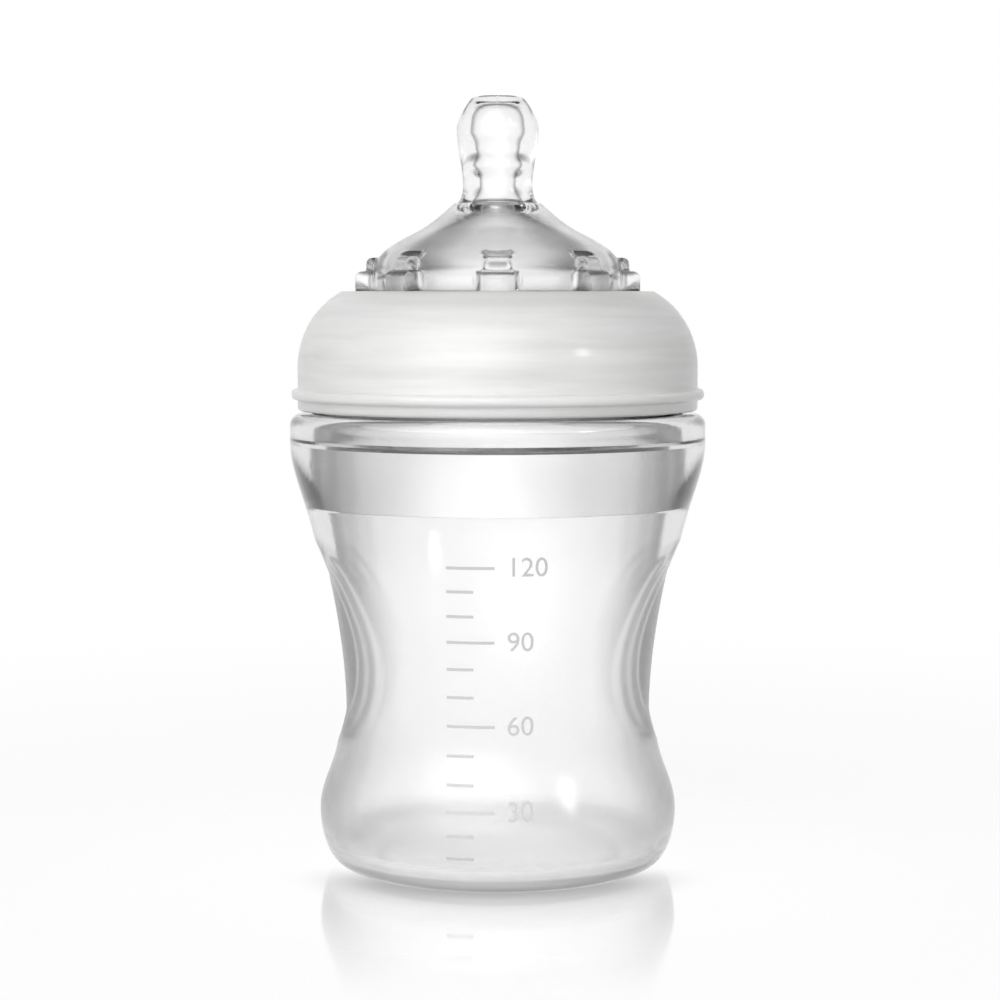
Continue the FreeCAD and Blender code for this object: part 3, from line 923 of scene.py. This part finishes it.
teat_sections = {"plain": plain_section, "lower_nub": lower_section, "upper_nub": upper_section}
for label, section in teat_sections.items():
    teat_sections[label] = nipple_base + evenly(section, nub_rows) + nipple_top + nipple_inside
nipple_profile = teat_sections.pop("plain")[:-len(nipple_inside)]
# Stops of the painted edge shade of the nipple, outside and in the bore.
teat_skin = clear_silicone("clear_silicone",
                           [(0, 1), (0.4, 0.97), (0.75, 0.93), (1, 0.7)],
                           [(0, 1), (0.2, 0.96), (0.295, 0.85)])
teat_bore = clear_silicone("clear_silicone_bore",
                           [(0, 1), (0.4, 0.955), (0.6, 0.84), (0.8, 0.5), (1, 0.3)],
                           [(0, 1), (0.16, 0.975), (0.2, 0.89), (0.24, 0.62), (0.295, 0.25)])
nipple = turned_piece("silicone_nipple", nipple_profile, nipple_inside, [teat_skin, teat_bore],
                      segments=392, sizes=nub_sizes, rule=nub_rule, sections=teat_sections)
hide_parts("nipple")
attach(nipple, "nipple")

# Screw collar
# A frosted collar of milky plastic with a domed shoulder and a flange at its lower edge. It is moulded with
# a two-start thread inside, screws down on the neck ring and clamps the flange of the nipple there.

collar_bore_radius = 33.2 * mm
collar_wall = 1.8 * mm
collar_edge_rounding = 0.5 * mm
collar_flange_rise = 1.3 * mm
collar_flange_proud = 1.1 * mm
collar_flange_height = 1.8 * mm
collar_flange_rounding = 0.7 * mm
collar_step_rounding = 0.35 * mm
dome_radius = 15.15 * mm
dome_over_land = 9.2 * mm
land_height = 96.6 * mm
opening_radius = 26.0 * mm
opening_rounding = 1.0 * mm
opening_relief = 1.5 * mm
skirt_drop = 0.6 * mm      # the skirt hangs this far below the solid's, as the photo shows no gap there
streak_scale = 30
streak_stretch = 14
streak_detail = 4
streak_distortion = 0.3
streak_low = 0.3
streak_high = 0.7
streak_dull = (0.8, 0.795, 0.78, 1)
streak_bright = (0.97, 0.968, 0.96, 1)
frost_roughness = 0.35
frost_variation = 0.1
milk_depth = 3 * mm

collar_thread_sizes = {
    **thread_sizes,
    "Root Radius": collar_bore_radius,
    "First Turn": -0.25,
}


def collar_thread_rule(given, angle, radius, height, inner, others):
    """Lets the thread stand inwards from the bore of the collar."""
    crest = given["Root Radius"] - thread_ridge(given, angle, height) * given["Depth"]
    reach = radius.maths("MINIMUM", crest)
    return radius + (reach - radius) * inner, height, {}


def frosted_plastic(name):
    """Milky plastic with a fine frosted texture and faint pearly flow streaks that run round the collar."""
    material, tree, shader = new_material(name)
    stretch = wired(tree, "ShaderNodeMapping", {
        "Vector": own_coordinates(tree), "Scale": (1, 1, streak_stretch),
    })
    flow = wired(tree, "ShaderNodeTexNoise", {
        "Vector": stretch.outputs["Vector"],
        "Scale": streak_scale,
        "Detail": streak_detail,
        "Distortion": streak_distortion,
    })
    pearl = wired(tree, "ShaderNodeValToRGB", {"Fac": flow.outputs["Fac"]})
    dull, bright = pearl.color_ramp.elements
    dull.position, dull.color = streak_low, streak_dull
    bright.position, bright.color = streak_high, streak_bright
    feed(tree, shader.inputs["Base Color"], pearl.outputs["Color"])
    frost = noise(tree, scale=240, detail=3) * frost_variation + frost_roughness
    feed(tree, shader.inputs["Roughness"], frost)
    shader.inputs["Coat Weight"].default_value = 0.5
    shader.inputs["Coat Roughness"].default_value = 0.14
    shader.inputs["Subsurface Weight"].default_value = 0.8
    shader.inputs["Subsurface Radius"].default_value = (1, 1, 1)
    shader.inputs["Subsurface Scale"].default_value = milk_depth
    shader.inputs["IOR"].default_value = plastic_ior
    skin_bump(tree, shader, noise(tree, scale=1400, detail=2), skin_depth)
    return material


collar_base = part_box("screw_collar")[0].z
skirt_base = collar_base - skirt_drop
collar_radius = collar_bore_radius + collar_wall
flange_reach = collar_radius + collar_flange_proud
flange_lower = collar_base + collar_flange_rise
flange_upper = flange_lower + collar_flange_height
dome_centre = (collar_radius - dome_radius, land_height - dome_over_land)
edge_radius = opening_radius + opening_rounding
edge_reach = dome_radius - opening_rounding
edge_turn = math.acos((edge_radius - dome_centre[0]) / edge_reach)
edge_height = dome_centre[1] + edge_reach * math.sin(edge_turn)
edge_turn = math.degrees(edge_turn)
inner_dome_radius = dome_radius - collar_wall
land_turn = math.asin(dome_over_land / inner_dome_radius)
land_radius = dome_centre[0] + inner_dome_radius * math.cos(land_turn)

collar_outside = straight([
    (collar_bore_radius, skirt_base),
    (collar_radius, skirt_base, collar_edge_rounding),
    (collar_radius, flange_lower, collar_step_rounding),
    (flange_reach, flange_lower, collar_flange_rounding),
    (flange_reach, flange_upper, collar_flange_rounding),
    (collar_radius, flange_upper, collar_step_rounding),
    (collar_radius, dome_centre[1]),
], spacing=0.5 * mm)
collar_outside += arc(dome_centre, dome_radius, 0, edge_turn, steps=40)[1:]
collar_outside += arc((edge_radius, edge_height), opening_rounding, edge_turn, 180, steps=10)[1:]
collar_outside += straight([
    (opening_radius, edge_height),
    (opening_radius, land_height + opening_relief),
    (opening_radius + opening_relief, land_height),
], spacing=1 * mm)[1:]
collar_inside = straight([
    (opening_radius + opening_relief, land_height),
    (land_radius, land_height),
], spacing=1 * mm)[1:]
collar_inside += arc(dome_centre, inner_dome_radius, math.degrees(land_turn), 0, steps=24)[1:]
collar_inside += straight([
    (collar_bore_radius, dome_centre[1]),
    (collar_bore_radius, skirt_base),
], spacing=thread_row)[1:]
frosted = frosted_plastic("frosted_plastic")
collar = turned_piece("frosted_collar", collar_outside, collar_inside, [frosted],
                      segments=384, sizes=collar_thread_sizes, rule=collar_thread_rule)
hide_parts("screw_collar")
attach(collar, "collar")

# Studio
# A pale floor with a slight gloss, a white surround that the clear pieces show, a large soft lamp at the
# front left, a weaker one at the right and a small one between them.

floor_half = 3.0
floor_drop = 0.05 * mm
floor_shade = 0.12
floor_light = 0.72
shadow_start = 0.08
shadow_end = 0.35
foot_fade = 16 * mm
# Reach and depth of the painted contact shadow in front of the foot.
contact_end = 42 * mm
painted_contact_shade = 0.55
front_start = -0.2
front_end = -0.8
floor_bounce = 0.34
mirror_start = 40 * mm
mirror_end = 100 * mm
mirror_share = 0.5
mirror_roughness = 0.07
ceiling_start = 0.35
ceiling_end = 0.8
ceiling_shade = 0.3
ambient = 0.05
floor_mesh = bpy.data.meshes.new("floor")
floor_corners = [(-floor_half, -floor_half), (floor_half, -floor_half), (floor_half, floor_half),
                 (-floor_half, floor_half)]
floor_mesh.from_pydata([(x, y, -floor_drop) for x, y in floor_corners], [], [(0, 1, 2, 3)])
floor = bpy.data.objects.new("floor", floor_mesh)
bpy.context.scene.collection.objects.link(floor)


def ray_kind(tree, *labels):
    """1 for rays of the given kinds, so that these see the white surround and the rest see plain light."""
    path = tree.nodes.new("ShaderNodeLightPath")
    kinds = [Field(tree, path.outputs[label]) for label in labels]
    kind = kinds[0]
    for other in kinds[1:]:
        kind = kind.maths("MAXIMUM", other)
    return kind


def pale_floor():
    """White floor that takes shadows round the bottle, mirrors it where it is polished close to it, and
    carries a painted contact shadow in front of the foot where the camera sees it.
    """
    material, tree, shader = new_material("pale_floor")
    distance = off_axis(tree)
    split = wired(tree, "ShaderNodeSeparateXYZ", {"Vector": own_coordinates(tree)})
    in_front = (Field(tree, split.outputs["Y"]) / distance).step(front_start, front_end)
    clear_of_foot = distance.step(foot_radius, foot_radius + foot_fade)
    shade = distance.step(shadow_end, shadow_start) * clear_of_foot * floor_shade
    grey = wired(tree, "ShaderNodeCombineColor", {0: shade, 1: shade, 2: shade})
    feed(tree, shader.inputs["Base Color"], grey.outputs["Color"])
    shader.inputs["Specular IOR Level"].default_value = 0
    shader.inputs["Emission Color"].default_value = (1, 1, 1, 1)
    seen = ray_kind(tree, "Is Camera Ray", "Is Glossy Ray", "Is Transmission Ray")
    direct = ray_kind(tree, "Is Camera Ray")
    # Painted contact shadow: the floor as the camera sees it is darker close in front of the foot.
    painted_contact_shadow = distance.step(contact_end, foot_radius) * in_front * direct * painted_contact_shade
    glow = seen * (shade * -floor_light + 1 - painted_contact_shadow)
    feed(tree, shader.inputs["Emission Strength"], glow + (seen * -1 + 1) * floor_bounce)
    mirror = wired(tree, "ShaderNodeBsdfGlossy", {"Color": (1, 1, 1, 1), "Roughness": mirror_roughness})
    polish = distance.step(mirror_end, mirror_start) * clear_of_foot * mirror_share
    mix = wired(tree, "ShaderNodeMixShader", {
        0: polish * direct, 1: shader.outputs[0], 2: mirror.outputs[0],
    })
    feed(tree, tree.nodes["Material Output"].inputs["Surface"], mix.outputs[0])
    return material


floor_mesh.materials.append(pale_floor())

world = bpy.data.worlds.new("white_surround")
bpy.context.scene.world = world
world.use_nodes = True
sky = world.node_tree
surround = sky.nodes["Background"]
surround.inputs["Color"].default_value = (1, 1, 1, 1)
view = sky.nodes.new("ShaderNodeTexCoord").outputs["Generated"]
ceiling = height_of(sky, view).step(ceiling_start, ceiling_end)
shown = ceiling * (ceiling_shade - 1) + 1
seen = ray_kind(sky, "Is Glossy Ray", "Is Transmission Ray")
direct = ray_kind(sky, "Is Camera Ray")
light = seen * (shown - ambient) + ambient
feed(sky, surround.inputs["Strength"], light + direct * (light * -1 + 1))


def soft_lamp(name, turn, rise, distance, size, power):
    """Round lamp that looks at the bottle from an azimuth right of the front and an elevation, in degrees.
    Its glow fades from the middle to the rim."""
    disk_middle = 0.5
    lamp = bpy.data.lights.new(name, "AREA")
    lamp.shape = "DISK"
    lamp.size = size
    lamp.energy = power
    lamp.use_nodes = True
    tree = lamp.node_tree
    place = tree.nodes.new("ShaderNodeNewGeometry").outputs["Parametric"]
    off_middle = wired(tree, "ShaderNodeVectorMath", {
        0: place, 1: (disk_middle, disk_middle, 0),
    }, operation="DISTANCE")
    glow = Field(tree, off_middle.outputs["Value"]).step(disk_middle, 0)
    feed(tree, tree.nodes["Emission"].inputs["Strength"], glow)
    holder = bpy.data.objects.new(name, lamp)
    bpy.context.scene.collection.objects.link(holder)
    aim = Vector((0, 0, tip_height / 2))
    turn, rise = math.radians(turn), math.radians(rise)
    way = Vector((math.sin(turn) * math.cos(rise), -math.cos(turn) * math.cos(rise), math.sin(rise)))
    holder.location = aim + way * distance
    holder.rotation_euler = (-way).to_track_quat("-Z", "Y").to_euler()
    return holder


soft_lamp("front_left_lamp", turn=-20, rise=28, distance=1.3, size=3.0, power=74)
soft_lamp("right_lamp", turn=80, rise=15, distance=0.9, size=1.0, power=0.5)
soft_lamp("front_right_lamp", turn=50, rise=21, distance=0.9, size=0.2, power=2)

camera_place = (0.0004, -0.4579, 0.1)
camera_pitch = 4.5
camera_data = bpy.data.cameras.new("camera")
camera_data.lens = 93.9
camera_data.sensor_width = 36
camera = bpy.data.objects.new("camera", camera_data)
bpy.context.scene.collection.objects.link(camera)
camera.location = camera_place
camera.rotation_euler = (math.radians(90 - camera_pitch), 0, 0)
bpy.context.scene.camera = camera
bpy.context.scene.view_settings.view_transform = "Standard"
